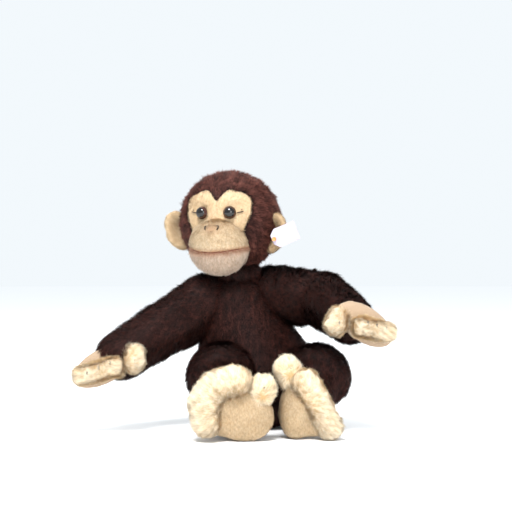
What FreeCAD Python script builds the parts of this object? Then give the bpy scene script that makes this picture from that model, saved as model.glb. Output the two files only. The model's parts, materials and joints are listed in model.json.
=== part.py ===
import FreeCAD, Part
import math
import os

# A stuffed chimpanzee, seated, in millimetres.  It looks along -Y, its left is
# +X, +Z is up, and the origin is the middle of the flat seat that it rests on.
# Every limb is a fabric sleeve over its own filling; a ball at the root of a
# limb sits in a hollow of the piece before it, so that the limb can turn.

Vector = FreeCAD.Vector
UP = Vector(0, 0, 1)
SIDES = {"right": -1, "left": 1}

CLOTH = 1.6            # plush backing with the roots of its pile
FILL_GAP = 0.15        # between pieces of one body that lie against each other
JOINT_GAP = 0.6        # between pieces of two bodies
ARM_STEP = 18.0        # degrees between the copies that cut a limb's path
LEG_STEP = 12.0
STEP_GROWTH = 0.15     # each copy is this much fatter, so that no two surfaces coincide
FAR = 400.0            # longer than the whole toy
BALL_SEAM = 30.0       # degrees from X at which an ellipsoid's faces meet, clear of what is cut from it

# torso: a tapered capsule from the belly's centre up to the chest's
BELLY = Vector(-1, 0, 50)
BELLY_R = 53.0
CHEST = Vector(-19, 2, 116)
CHEST_R = 35.0
SIDE_SEAM_Y = 20.0      # behind the flat seat, which lies wholly on the belly panel
PELLET_BAG_R = 22.0
PELLET_BAG_AT = Vector(-3, 3, 27)

# neck and head: the head is an ellipsoid with the muzzle bulging from its front
NECK = Vector(-18, 3, 155)
NECK_R = 15.0
HEAD = Vector(-24, 5, 204)
HEAD_RADII = (47.5, 44, 48)
HEAD_YAW = -30.0       # the face is turned towards the toy's right arm
GUSSET_HALF = 17.0
MUZZLE_AT = Vector(0, -33, -24)
MUZZLE_RADII = (29, 27, 28)
MOUTH_Z = -31.0
LIP_WIDTH = 1.2
LIP_HEIGHT = 0.8        # above the muzzle
LIP_DEPTH = 8.0         # the mouth line stops this far in front of the muzzle's middle
NOSTRIL = [(5.8, -57.2, -10.5), (7.4, -56.4, -7.5)]
MASK_DEPTH = 14.0      # the face mask ends this far in front of the head's centre
MASK_HALF_OUTLINE = [(0, 22), (8, 28), (17, 31), (26, 27), (31, 16), (29, 3), (24, -10), (0, -16)]

EYE_X = 13.5
EYE_Z = 7.5
EYE_YAW = 17.0
EYE_R = 6.0
STEM_R = 2.0
STEM_LENGTH = 12.0
WASHER_R = 6.5
WASHER_THICK = 1.2
WASHER_DEPTH = 4.0      # behind the surface of the head
LASH_X = (21.3, 26.0)
LASH_RISE = 0.9
EAR_AT = Vector(52, -9, -9)
EAR_RADII = (13, 5, 20)
EAR_YAW = 25.0
TAG_SIZE = (27.0, 0.7, 19.0)
TAG_CORNER = 5.0
TAG_TILT = -22.0
TAG_AT = Vector(64, -25, -14)
TAG_PIN_INSET = 2.5
TAG_PIN_R = 2.0
TAG_PIN_HEAD = 1.4
TAG_PIN_LENGTH = 15.0
TAG_PIN_SHAFT_R = 0.9
TAG_PIN_FRONT = 2.0     # how far its head stands in front of the tag's middle

# limbs: root, middle joint and end, with the radius at each
SHOULDER_R = 26.0
ELBOW_R = 24.0
WRIST_R = 20.5
HIP_R = 27.0
KNEE_R = 32.0
SHIN_ROOT_R = 23.0
ANKLE_R = 17.0
ELBOW_BEND = 50.0
KNEE_BEND = 32.0
SHOULDER = {"right": Vector(-47, 4, 123), "left": Vector(20, 2, 131)}
ELBOW = {"right": Vector(-96, -11, 97), "left": Vector(59, -42, 127)}
WRIST = {"right": Vector(-137, -22, 74), "left": Vector(75, -84, 109)}
ARM_RANGE = {"right": (-10, 40), "left": (0, 40)}
HIP = {"right": Vector(-33, -12, 32), "left": Vector(29, -14, 32)}
KNEE = {"right": Vector(-43, -48, 54), "left": Vector(49, -54, 52)}
ANKLE = {"right": Vector(-41, -84, 27), "left": Vector(32, -88, 27)}
SPLAY_RANGE = {"right": (-24, 0), "left": (0, 24)}

# hands: a suede palm, one pad of four fingers curled over it, and a thumb
PALM_AT = {"right": Vector(-152, -26, 64), "left": Vector(82, -97, 105)}
PALM_RADII = (28, 11, 17)
PALM_TURN = {"right": (0, 0, -27), "left": (10, 0, 25)}
FINGERS = {"right": (Vector(-145, -43, 68), Vector(-175, -36, 55)),
           "left": (Vector(77, -112, 106), Vector(104, -106, 98))}
FINGER_R = 8.5
FINGER_COUNT = 4
FINGER_STEP = 0.6       # each finger is this much thinner than the one before
FINGER_TAPER = 0.5
FINGER_MARKS = (0.15, 0.5, 0.85)
FINGER_CURL = 5.0
THUMB = {"right": (Vector(-127, -44, 69), Vector(-126, -41, 77)),
         "left": (Vector(55, -106, 106), Vector(57, -103, 113))}
THUMB_R = 9.5
THUMB_TAPER = 1.0

# feet: a short-pile sole, a row of toes curled over its edge, and a big toe
SOLE_AT = {"right": Vector(-37, -103, 27), "left": Vector(21, -101, 31)}
SOLE_RADII = {"right": (33, 12, 25), "left": (18, 15, 31)}
SOLE_TURN = {"right": (-12, 0, 22), "left": (-25, 0, 12)}
TOES = {"right": [Vector(-41, -106, 54), Vector(-58, -103, 50), Vector(-69, -101, 36), Vector(-66, -102, 18)],
        "left": [Vector(24, -110, 51), Vector(32, -112, 38), Vector(39, -113, 25), Vector(45, -114, 13)]}
TOE_R = {"right": 12.5, "left": 11.0}
TOE_STEP = 0.5          # each toe is this much thinner than the one before
BIG_TOE = {"right": (Vector(-16, -107, 48), Vector(-19, -104, 38)),
           "left": (Vector(10, -97, 64), Vector(13, -98, 56))}
BIG_TOE_R = 11.0
BIG_TOE_TAPER = 1.0
STITCH_R = 0.9


# ---- plain shapes -------------------------------------------------------

def turned(shape, yaw, pitch=0.0, roll=0.0):
    """Turn a shape about the origin: roll about Y, then pitch about X, then yaw about Z."""
    turn = (FreeCAD.Rotation(UP, yaw)
            * FreeCAD.Rotation(Vector(1, 0, 0), pitch)
            * FreeCAD.Rotation(Vector(0, 1, 0), roll))
    return shape.transformGeometry(FreeCAD.Placement(Vector(), turn).toMatrix())


def moved(shape, offset):
    copy = shape.copy()
    copy.translate(offset)
    return copy


def unit_ball():
    """A ball of radius 1 made of four slices, so that none of its faces closes on itself."""
    ball = None
    for quarter in range(4):
        piece = Part.makeSphere(1.0, Vector(), UP, -90, 90, 90)
        piece.rotate(Vector(), UP, 90 * quarter + BALL_SEAM)
        ball = piece if ball is None else ball.fuse(piece)
    return ball


def ellipsoid(centre, radii, grow=0.0, yaw=0.0, pitch=0.0, roll=0.0):
    stretch = FreeCAD.Matrix()
    stretch.scale(*[radius + grow for radius in radii])
    return moved(turned(unit_ball().transformGeometry(stretch), yaw, pitch, roll), centre)


def capsule(start, end, start_r, end_r, grow=0.0):
    """A ball at each end, joined by the cone that touches both, turned from one profile."""
    start_r += grow
    end_r += grow
    axis = end - start
    length = axis.Length
    lean = math.asin((start_r - end_r) / length)

    def on_ball(centre_z, radius, angle):
        return Vector(radius * math.cos(angle), 0, centre_z + radius * math.sin(angle))

    bottom = Vector(0, 0, -start_r)
    top = Vector(0, 0, length + end_r)
    low_touch = on_ball(0, start_r, lean)
    high_touch = on_ball(length, end_r, lean)
    low_mid = on_ball(0, start_r, (lean - math.pi / 2) / 2)
    high_mid = on_ball(length, end_r, (lean + math.pi / 2) / 2)
    profile = Part.Wire([Part.Arc(bottom, low_mid, low_touch).toShape(),
                         Part.LineSegment(low_touch, high_touch).toShape(),
                         Part.Arc(high_touch, high_mid, top).toShape(),
                         Part.LineSegment(top, bottom).toShape()])
    solid = Part.Face(profile).revolve(Vector(), UP, 360)
    solid.Placement = FreeCAD.Placement(start, FreeCAD.Rotation(UP, axis))
    return solid


def swept_capsule(start, end, start_r, end_r, axis, degrees, step_size):
    """The places that a limb takes as it turns about its root, with the joint gap around each."""
    low, high = degrees
    steps = int(math.ceil((high - low) / step_size))
    copies = []
    for step in range(steps + 1):
        turn = FreeCAD.Rotation(axis, low + (high - low) * step / steps)
        grow = JOINT_GAP + STEP_GROWTH * step
        copies.append(capsule(start, start + turn.multVec(end - start), start_r, end_r, grow))
    return copies


def bend_cone(joint, toward, radius, bend):
    """The room that a limb of this radius needs in the piece before it to bend either way."""
    angle = math.radians(bend)
    reach = radius + JOINT_GAP
    depth = reach / math.sin(angle)
    direction = (toward - joint).normalize()
    height = depth + FAR / 4
    return Part.makeCone(0, height * math.tan(angle), height, joint - direction * depth, direction)


def half_space(point, normal):
    """Everything on the side of a plane that its normal points to."""
    block = Part.makeBox(2 * FAR, 2 * FAR, FAR, Vector(-FAR, -FAR, 0))
    block.Placement = FreeCAD.Placement(point, FreeCAD.Rotation(UP, normal))
    return block


def cut_all(shape, tools):
    """Cut one tool after another, because many that overlap in one cut can fail."""
    for tool in tools:
        if tool.BoundBox.intersect(shape.BoundBox):
            shape = shape.cut(tool)
    return shape


def fuse_all(shapes):
    whole = shapes[0]
    for shape in shapes[1:]:
        whole = whole.fuse(shape)
    return whole.removeSplitter()


def save(name, shape):
    solids = shape.Solids
    result = solids[0] if len(solids) == 1 else Part.makeCompound(solids)
    if not solids or not all(solid.isValid() for solid in solids):
        print("check", name, len(solids), "solids")
    result.exportStep("parts/" + name + ".step")


# ---- limbs --------------------------------------------------------------

def raise_axis(start, end):
    """The level axis about which a positive turn lifts the limb's end."""
    axis = (end - start).cross(UP)
    return axis.normalize()


def arm_paths():
    paths = []
    for side in SIDES:
        root = SHOULDER[side]
        end = ELBOW[side]
        axis = raise_axis(root, end)
        paths += swept_capsule(root, end, SHOULDER_R, ELBOW_R, axis, ARM_RANGE[side], ARM_STEP)
    return paths


def leg_paths():
    paths = []
    for side in SIDES:
        paths += swept_capsule(HIP[side], KNEE[side], HIP_R, KNEE_R, UP, SPLAY_RANGE[side], LEG_STEP)
    return paths


def sleeve_and_filling(start, end, start_r, end_r, tools):
    whole = capsule(start, end, start_r, end_r)
    sleeve = whole.cut(capsule(start, end, start_r, end_r, -CLOTH))
    filling = capsule(start, end, start_r, end_r, -CLOTH - FILL_GAP)
    return cut_all(sleeve, tools), cut_all(filling, tools)


def stitch(start, end, under):
    """A satin stitch that lies on the pieces under it."""
    return cut_all(capsule(start, end, STITCH_R, STITCH_R * 0.99), under)


def fingers_shape(side, grow=0.0):
    """Four fingers side by side, curled towards the palm."""
    first, last = FINGERS[side]
    fingers = []
    for index in range(FINGER_COUNT):
        middle = first + (last - first) * (index / (FINGER_COUNT - 1))
        radius = FINGER_R - FINGER_STEP * index
        fingers.append(capsule(middle + UP * FINGER_CURL, middle - UP * FINGER_CURL,
                               radius, radius - FINGER_TAPER, grow))
    return fuse_all(fingers)


def toes_shape(side, grow=0.0):
    """Toe pads in a row, each a ball that runs into the next."""
    toes = []
    for index, (start, end) in enumerate(zip(TOES[side], TOES[side][1:])):
        radius = TOE_R[side] - TOE_STEP * index
        toes.append(capsule(start, end, radius, radius - TOE_STEP, grow))
    return fuse_all(toes)


def thumb_shape(side, grow=0.0):
    start, end = THUMB[side]
    return capsule(start, end, THUMB_R, THUMB_R - THUMB_TAPER, grow)


def big_toe_shape(side, grow=0.0):
    start, end = BIG_TOE[side]
    return capsule(start, end, BIG_TOE_R, BIG_TOE_R - BIG_TOE_TAPER, grow)


def make_arm(side):
    shoulder, elbow, wrist = SHOULDER[side], ELBOW[side], WRIST[side]
    yaw, pitch, roll = PALM_TURN[side]
    elbow_room = [bend_cone(elbow, wrist, ELBOW_R, ELBOW_BEND)]
    sleeve, filling = sleeve_and_filling(shoulder, elbow, SHOULDER_R, ELBOW_R, elbow_room)
    save("upper_arm_sleeve_" + side, sleeve)
    save("upper_arm_filling_" + side, filling)

    fingers = fingers_shape(side)
    fingers_room = fingers_shape(side, FILL_GAP)
    thumb_room = thumb_shape(side, FILL_GAP)
    palm_room = ellipsoid(PALM_AT[side], PALM_RADII, FILL_GAP, yaw, pitch, roll)
    thumb = cut_all(thumb_shape(side), [fingers_room])
    palm = cut_all(ellipsoid(PALM_AT[side], PALM_RADII, 0, yaw, pitch, roll), [fingers_room, thumb_room])
    hand_room = [palm_room, fingers_room, thumb_room]
    sleeve, filling = sleeve_and_filling(elbow, wrist, ELBOW_R - JOINT_GAP, WRIST_R, hand_room)
    save("forearm_sleeve_" + side, largest(sleeve))
    save("forearm_filling_" + side, largest(filling))
    save("palm_" + side, largest(palm))
    save("fingers_" + side, fingers)
    save("thumb_" + side, largest(thumb))

    first, last = FINGERS[side]
    front = Vector(0, -FINGER_R, 0)
    marks = []
    for share in FINGER_MARKS:
        spot = first + (last - first) * share + front
        marks += stitch(spot + UP * 2, spot + UP * 4, [fingers_room]).Solids
    spot = THUMB[side][0] + Vector(0, -THUMB_R, 0)
    marks += stitch(spot + UP, spot + UP * 3, [thumb_room, fingers_room]).Solids
    save("finger_stitches_" + side, Part.makeCompound(marks))


def make_leg(side):
    hip, knee, ankle = HIP[side], KNEE[side], ANKLE[side]
    yaw, pitch, roll = SOLE_TURN[side]
    knee_room = [bend_cone(knee, ankle, SHIN_ROOT_R, KNEE_BEND)]
    sleeve, filling = sleeve_and_filling(hip, knee, HIP_R, KNEE_R, knee_room)
    save("thigh_sleeve_" + side, largest(sleeve))
    save("thigh_filling_" + side, largest(filling))

    toes = toes_shape(side)
    toes_room = toes_shape(side, FILL_GAP)
    big_room = big_toe_shape(side, FILL_GAP)
    sole_room = ellipsoid(SOLE_AT[side], SOLE_RADII[side], FILL_GAP, yaw, pitch, roll)
    big_toe = cut_all(big_toe_shape(side), [toes_room])
    sole = cut_all(ellipsoid(SOLE_AT[side], SOLE_RADII[side], 0, yaw, pitch, roll), [toes_room, big_room])
    foot_room = [sole_room, toes_room, big_room]
    sleeve, filling = sleeve_and_filling(knee, ankle, SHIN_ROOT_R, ANKLE_R, foot_room)
    save("shin_sleeve_" + side, largest(sleeve))
    save("shin_filling_" + side, largest(filling))
    save("sole_" + side, largest(sole))
    save("toes_" + side, toes)
    save("big_toe_" + side, largest(big_toe))
    spot = BIG_TOE[side][0] + Vector(0, -BIG_TOE_R, 0)
    save("toe_stitch_" + side, stitch(spot + Vector(-1.5, 0, 2), spot + Vector(1.5, 0, 2), [big_room]))


# ---- torso and neck -----------------------------------------------------

def make_torso():
    above_floor = half_space(Vector(), UP)
    outer = capsule(BELLY, CHEST, BELLY_R, CHEST_R).common(above_floor)
    inner = capsule(BELLY, CHEST, BELLY_R, CHEST_R, -CLOTH).common(half_space(UP * CLOTH, UP))
    core = capsule(BELLY, CHEST, BELLY_R, CHEST_R, -CLOTH - FILL_GAP)
    core = core.common(half_space(UP * (CLOTH + FILL_GAP), UP))
    neck_room = Part.makeSphere(NECK_R + JOINT_GAP, NECK)
    room = arm_paths() + leg_paths() + [neck_room]
    skin = cut_all(outer.cut(inner), room)
    bag = cut_all(Part.makeSphere(PELLET_BAG_R, PELLET_BAG_AT), leg_paths())
    bag_room = Part.makeSphere(PELLET_BAG_R + FILL_GAP, PELLET_BAG_AT)
    side_seam = Vector(0, SIDE_SEAM_Y, 0)
    front = half_space(side_seam - Vector(0, FILL_GAP / 2, 0), Vector(0, -1, 0))
    back = half_space(side_seam + Vector(0, FILL_GAP / 2, 0), Vector(0, 1, 0))
    save("belly_panel", largest(skin.common(front)))
    save("back_panel", largest(skin.common(back)))
    save("torso_filling", largest(cut_all(core, room + [bag_room])))
    save("pellet_bag", largest(bag))
    save("neck_filling", Part.makeSphere(NECK_R, NECK))


# ---- head ---------------------------------------------------------------

def place_head(shape):
    """From the head's own frame, with the face along -Y, to the toy's."""
    return moved(turned(shape, HEAD_YAW), HEAD)


def mask_prism(grow):
    """The heart-shaped outline of the face mask, carried straight back into the head."""
    right = [Vector(x, 0, z) for x, z in MASK_HALF_OUTLINE]
    left = [Vector(-x, 0, z) for x, z in MASK_HALF_OUTLINE[-2:0:-1]]
    curve = Part.BSplineCurve()
    curve.interpolate(right + left, PeriodicFlag=True)
    face = Part.Face(Part.Wire(curve.toShape()))
    if grow:
        face = face.makeOffset2D(grow)
    return moved(face.extrude(Vector(0, FAR / 2, 0)), Vector(0, -FAR / 2 - MASK_DEPTH, 0))


def head_ball(grow):
    return ellipsoid(Vector(), HEAD_RADII, grow)


def muzzle_ball(grow):
    return ellipsoid(MUZZLE_AT, MUZZLE_RADII, grow)


def above_head(x, z, height):
    """A point this high above the front of the head, over the surface point at x and z."""
    y = -HEAD_RADII[1] * math.sqrt(1 - (x / HEAD_RADII[0]) ** 2 - (z / HEAD_RADII[2]) ** 2)
    normal = Vector(x / HEAD_RADII[0] ** 2, y / HEAD_RADII[1] ** 2, z / HEAD_RADII[2] ** 2).normalize()
    return Vector(x, y, z) + normal * height


def eye_axis_point(sign, depth):
    """A point on the eye's axis, so deep behind the head's surface."""
    return above_head(sign * EYE_X, EYE_Z, 0) + eye_direction(sign) * depth


def eye_direction(sign):
    angle = math.radians(EYE_YAW)
    return Vector(-sign * math.sin(angle), math.cos(angle), 0)


def eye(sign, grow=0.0):
    """A domed toy eye with a flat back and a stem that goes through the cloth."""
    inward = eye_direction(sign)
    back = eye_axis_point(sign, -CLOTH)
    dome = Part.makeSphere(EYE_R + grow, back).common(half_space(back + inward * grow, -inward))
    stem = Part.makeCylinder(STEM_R + grow, STEM_LENGTH, back - inward, inward)
    return dome.fuse(stem).removeSplitter()


def washer(sign, grow=0.0):
    """The toothed lock washer behind the cloth, as a plain ring."""
    inward = eye_direction(sign)
    start = eye_axis_point(sign, WASHER_DEPTH) - inward * grow
    height = WASHER_THICK + 2 * grow
    ring = Part.makeCylinder(WASHER_R + grow, height, start, inward)
    hole = Part.makeCylinder(max(STEM_R + FILL_GAP - grow, 0.5), height, start, inward)
    return ring if grow else ring.cut(hole)


def tag_plate(grow=0.0):
    """A hang tag with two clipped corners, and the pin through its corner into the ear."""
    width, thick, height = [size + 2 * grow for size in TAG_SIZE]
    half = (width / 2, height / 2)
    outline = [(-half[0] + TAG_CORNER, -half[1]), (half[0], -half[1]), (half[0], half[1]),
               (-half[0] + TAG_CORNER, half[1]), (-half[0], half[1] - TAG_CORNER),
               (-half[0], -half[1] + TAG_CORNER)]
    points = [Vector(x, -thick / 2, z) for x, z in outline]
    plate = Part.Face(Part.makePolygon(points + points[:1])).extrude(Vector(0, thick, 0))
    return moved(turned(plate, 0, 0, TAG_TILT), TAG_AT)


def tag_pin_point():
    """Where the pin goes through the tag, near its inner edge."""
    inset = TAG_SIZE[0] / 2 - TAG_PIN_INSET
    tilt = math.radians(TAG_TILT)
    return TAG_AT + Vector(-inset * math.cos(tilt), 0, inset * math.sin(tilt))


def tag_pin(grow=0.0):
    """A head in front of the tag, and a shaft that runs back into the ear."""
    back = Vector(0, 1, 0)
    front = tag_pin_point() - back * TAG_PIN_FRONT
    head = Part.makeCylinder(TAG_PIN_R + grow, TAG_PIN_HEAD, front, back)
    shaft = Part.makeCylinder(TAG_PIN_SHAFT_R + grow, TAG_PIN_LENGTH, front, back)
    return head.fuse(shaft).removeSplitter()


def make_head():
    shell = head_ball(0).cut(head_ball(-CLOTH))
    muzzle_room = muzzle_ball(FILL_GAP)
    eye_room = [eye(sign, FILL_GAP) for sign in (-1, 1)]
    washer_room = [washer(sign, FILL_GAP) for sign in (-1, 1)]
    neck_room = Part.makeSphere(NECK_R + JOINT_GAP, NECK - HEAD)
    neck_room = turned(neck_room, -HEAD_YAW)
    common_room = [muzzle_room, neck_room] + eye_room
    mask = cut_all(shell.common(mask_prism(0)), common_room)
    pelt = cut_all(shell, [mask_prism(FILL_GAP)] + common_room)
    save("face_mask", place_head(largest(mask)))
    gusset_slab = Part.makeBox(2 * GUSSET_HALF, FAR, FAR, Vector(-GUSSET_HALF, -FAR / 2, -FAR / 2))
    save("crown_gusset", place_head(largest(pelt.common(gusset_slab))))
    for side, sign in SIDES.items():
        edge = Vector(sign * (GUSSET_HALF + FILL_GAP), 0, 0)
        panel = pelt.common(half_space(edge, Vector(sign, 0, 0)))
        save("head_side_" + side, place_head(largest(panel)))
    filling = cut_all(head_ball(-CLOTH - FILL_GAP), [neck_room, muzzle_room] + eye_room + washer_room)
    save("head_filling", place_head(largest(filling)))
    make_muzzle()
    make_eyes_and_ears()


def make_muzzle():
    above = half_space(Vector(0, 0, MOUTH_Z + FILL_GAP / 2), UP)
    below = half_space(Vector(0, 0, MOUTH_Z - FILL_GAP / 2), UP * -1)
    torso_side = Part.makeSphere(NECK_R + JOINT_GAP, Vector())
    torso_side = turned(moved(torso_side, NECK - HEAD), -HEAD_YAW)
    skull = head_ball(-CLOTH - 2 * FILL_GAP)
    shell = cut_all(muzzle_ball(0), [muzzle_ball(-CLOTH), skull, torso_side])
    save("muzzle_panel", place_head(largest(shell.common(above))))
    save("chin_panel", place_head(largest(shell.common(below))))
    filling = cut_all(muzzle_ball(-CLOTH - FILL_GAP), [torso_side])
    save("muzzle_filling", place_head(largest(filling)))

    lip_front = half_space(MUZZLE_AT - Vector(0, LIP_DEPTH, 0), Vector(0, -1, 0))
    lip_band = Part.makeBox(FAR, FAR, LIP_WIDTH, Vector(-FAR / 2, -FAR / 2, MOUTH_Z - LIP_WIDTH / 2))
    lip = muzzle_ball(LIP_HEIGHT).cut(muzzle_ball(FILL_GAP)).common(lip_band).common(lip_front)
    save("mouth_stitch", place_head(largest(lip)))
    nostrils = []
    for sign in (-1, 1):
        low, high = [Vector(sign * x, y, z) for x, y, z in NOSTRIL]
        nostrils += stitch(low, high, [muzzle_ball(FILL_GAP)]).Solids
    save("nostril_stitches", place_head(Part.makeCompound(nostrils)))


def make_eyes_and_ears():
    lashes = []
    for side, sign in SIDES.items():
        save("eye_" + side, place_head(eye(sign)))
        save("eye_washer_" + side, place_head(washer(sign)))
        at = Vector(sign * EAR_AT.x, EAR_AT.y, EAR_AT.z)
        ear = ellipsoid(at, EAR_RADII, 0, -sign * EAR_YAW).cut(head_ball(FILL_GAP))
        if side == "left":
            ear = cut_all(ear, [tag_plate(FILL_GAP), tag_pin(FILL_GAP)])
        save("ear_" + side, place_head(largest(ear)))
        inner = above_head(sign * LASH_X[0], EYE_Z, 2 * STITCH_R)
        outer = above_head(sign * LASH_X[1], EYE_Z + LASH_RISE, 2 * STITCH_R)
        lashes.append(stitch(inner, outer, []))
    save("lash_stitches", place_head(Part.makeCompound(lashes)))
    save("hang_tag", place_head(largest(tag_plate().cut(tag_pin(FILL_GAP)))))
    save("tag_pin", place_head(tag_pin().cut(head_ball(FILL_GAP))))


def largest(shape):
    """The main solid of a cut piece, without crumbs."""
    return max(shape.Solids, key=lambda solid: solid.Volume)


os.makedirs("parts", exist_ok=True)
make_torso()
make_head()
for limb_side in SIDES:
    make_arm(limb_side)
    make_leg(limb_side)
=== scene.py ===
import json
import math

import bmesh
import bpy
import numpy as np
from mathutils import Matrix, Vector


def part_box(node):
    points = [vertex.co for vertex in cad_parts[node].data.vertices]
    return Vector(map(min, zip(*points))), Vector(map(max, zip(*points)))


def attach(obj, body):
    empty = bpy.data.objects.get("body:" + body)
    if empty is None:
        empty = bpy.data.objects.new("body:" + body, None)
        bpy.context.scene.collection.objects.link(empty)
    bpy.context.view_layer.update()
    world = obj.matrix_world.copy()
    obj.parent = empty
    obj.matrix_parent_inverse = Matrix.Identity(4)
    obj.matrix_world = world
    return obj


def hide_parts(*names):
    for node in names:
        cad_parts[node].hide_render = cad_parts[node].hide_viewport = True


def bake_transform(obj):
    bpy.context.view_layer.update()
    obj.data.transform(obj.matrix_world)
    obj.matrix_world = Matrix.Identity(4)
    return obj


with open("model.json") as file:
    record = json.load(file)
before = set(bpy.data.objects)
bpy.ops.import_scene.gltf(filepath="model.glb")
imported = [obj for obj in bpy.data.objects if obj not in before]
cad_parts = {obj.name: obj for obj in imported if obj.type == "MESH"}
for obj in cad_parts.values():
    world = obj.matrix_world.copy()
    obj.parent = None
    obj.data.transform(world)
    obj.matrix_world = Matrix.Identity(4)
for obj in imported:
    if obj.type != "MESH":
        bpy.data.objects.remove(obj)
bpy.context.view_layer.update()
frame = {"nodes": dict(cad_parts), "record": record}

# A stuffed chimpanzee.  A soft skin starts from the hulls of the CAD nodes that
# it replaces and is melted into one organic body.  The large skins are then
# inflated as cloth.  The pile is made of real, tapered blades that grow from
# the skins.

MM = 0.001
SIDES = {"right": -1.0, "left": 1.0}
UP = np.array((0.0, 0.0, 1.0))
FLOOR_CLEAR = 0.4 * MM
CLOTH_STIFFNESS = 20
CLOTH_MASS = 0.3
BUMP_DEPTH = 0.5 * MM


# ---- places taken from the frame ----------------------------------------

def node_points(*nodes):
    """All mesh corners of some CAD nodes."""
    clouds = []
    for node in nodes:
        mesh = frame["nodes"][node].data
        points = np.empty(len(mesh.vertices) * 3)
        mesh.vertices.foreach_get("co", points)
        clouds.append(points.reshape(-1, 3))
    return np.vstack(clouds)


def at(node, x, y, z):
    """A point at these fractions of a node's box."""
    low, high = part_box(node)
    share = np.array((x, y, z))
    return np.array(low) * (1 - share) + np.array(high) * share


JOINT_AT = {joint["name"]: np.array(joint["pos_m"]) for joint in frame["record"]["behaviour"]["joints"]}
JOINT_AXIS = {joint["name"]: np.array(joint["axis"]) for joint in frame["record"]["behaviour"]["joints"]}

# The head's own axes: x to the toy's left, y to the back of the head, z up.
HEAD_X = JOINT_AXIS["head_nod"] / np.linalg.norm(JOINT_AXIS["head_nod"])
HEAD_Y = np.cross(UP, HEAD_X)
HEAD_HALF = np.array((48.5, 44.0, 48.0)) * MM
_head_cloud = node_points("crown_gusset", "head_side_right", "head_side_left")
HEAD_AT = (_head_cloud.max(0) + _head_cloud.min(0)) / 2
HEAD_AT[2] = _head_cloud[:, 2].max() - HEAD_HALF[2]
HEAD_TURN = np.stack((HEAD_X, HEAD_Y, UP))


def head_point(x, y, z):
    """From millimetres in the head's own axes to the toy's frame."""
    return HEAD_AT + np.array((x, y, z)) * MM @ HEAD_TURN


def head_local(points):
    """From the toy's frame to millimetres in the head's own axes."""
    return (points - HEAD_AT) @ HEAD_TURN.T / MM


# ---- meshes -------------------------------------------------------------

def new_object(name, mesh):
    obj = bpy.data.objects.new(name, mesh)
    bpy.context.scene.collection.objects.link(obj)
    return obj


def mesh_from(name, vertices, faces):
    mesh = bpy.data.meshes.new(name)
    mesh.from_pydata([tuple(v) for v in vertices], [], [tuple(f) for f in faces])
    mesh.update()
    return mesh


def hull_mesh(points):
    """The convex hull of a cloud of points."""
    shell = bmesh.new()
    for point in points:
        shell.verts.new(point)
    made = bmesh.ops.convex_hull(shell, input=shell.verts)
    spare = [item for key in ("geom_interior", "geom_unused") for item in made[key]]
    spare = list({item for item in spare if isinstance(item, bmesh.types.BMVert)})
    bmesh.ops.delete(shell, geom=spare, context="VERTS")
    mesh = bpy.data.meshes.new("hull")
    shell.to_mesh(mesh)
    shell.free()
    return mesh


def ball_mesh(centre, radii, axes=None, segments=32):
    """An ellipsoid with these half sizes along its own axes."""
    shell = bmesh.new()
    bmesh.ops.create_uvsphere(shell, u_segments=segments, v_segments=segments // 2, radius=1.0)
    mesh = bpy.data.meshes.new("ball")
    shell.to_mesh(mesh)
    shell.free()
    frame_axes = np.eye(3) if axes is None else np.array(axes)
    points = vertex_points(mesh) * np.array(radii) @ frame_axes + np.array(centre)
    mesh.vertices.foreach_set("co", points.ravel())
    return mesh


def vertex_points(mesh):
    points = np.empty(len(mesh.vertices) * 3)
    mesh.vertices.foreach_get("co", points)
    return points.reshape(-1, 3)


def vertex_normals(mesh):
    normals = np.empty(len(mesh.vertices) * 3)
    mesh.vertices.foreach_get("normal", normals)
    return normals.reshape(-1, 3)


def set_points(mesh, points):
    mesh.vertices.foreach_set("co", np.ascontiguousarray(points).ravel())
    mesh.update()


def settle(obj):
    """Keep what the object's modifiers give, and drop the modifiers."""
    graph = bpy.context.evaluated_depsgraph_get()
    mesh = bpy.data.meshes.new_from_object(obj.evaluated_get(graph), depsgraph=graph)
    obj.modifiers.clear()
    obj.data = mesh


def melt(name, meshes, voxel, smooth_rounds):
    """Several closed meshes melted into one organic body."""
    shell = bmesh.new()
    for mesh in meshes:
        shell.from_mesh(mesh)
    mesh = bpy.data.meshes.new(name)
    shell.to_mesh(mesh)
    shell.free()
    obj = new_object(name, mesh)
    remesh = obj.modifiers.new("melt", "REMESH")
    remesh.mode = "VOXEL"
    remesh.voxel_size = voxel
    smooth = obj.modifiers.new("soften", "SMOOTH")
    smooth.factor = 0.5
    smooth.iterations = smooth_rounds
    settle(obj)
    return obj


def inflate(obj, pressure, cap, frames=20):
    """Blow the closed cloth up a little under even pressure, moving no point further than the cap."""
    before = vertex_points(obj.data)
    cloth = obj.modifiers.new("cloth", "CLOTH")
    cloth.settings.use_pressure = True
    cloth.settings.uniform_pressure_force = pressure
    cloth.settings.effector_weights.gravity = 0.0
    cloth.settings.quality = 5
    cloth.settings.mass = CLOTH_MASS
    cloth.settings.tension_stiffness = CLOTH_STIFFNESS
    cloth.settings.compression_stiffness = CLOTH_STIFFNESS
    cloth.settings.bending_stiffness = 1.0
    cloth.point_cache.frame_start = 1
    cloth.point_cache.frame_end = frames
    for step in range(1, frames + 1):
        bpy.context.scene.frame_set(step)
    settle(obj)
    bpy.context.scene.frame_set(1)
    after = vertex_points(obj.data)
    shift = after - before
    length = np.linalg.norm(shift, axis=1, keepdims=True)
    limit = np.minimum(1.0, cap / np.maximum(length, 1e-9))
    set_points(obj.data, before + shift * limit)


def refine(obj):
    """Subdivide once more and shade smooth."""
    subdivide = obj.modifiers.new("refine", "SUBSURF")
    subdivide.levels = 1
    settle(obj)
    obj.data.shade_smooth()


def keep_off_floor(obj):
    points = vertex_points(obj.data)
    points[:, 2] = np.maximum(points[:, 2], FLOOR_CLEAR)
    set_points(obj.data, points)


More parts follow.
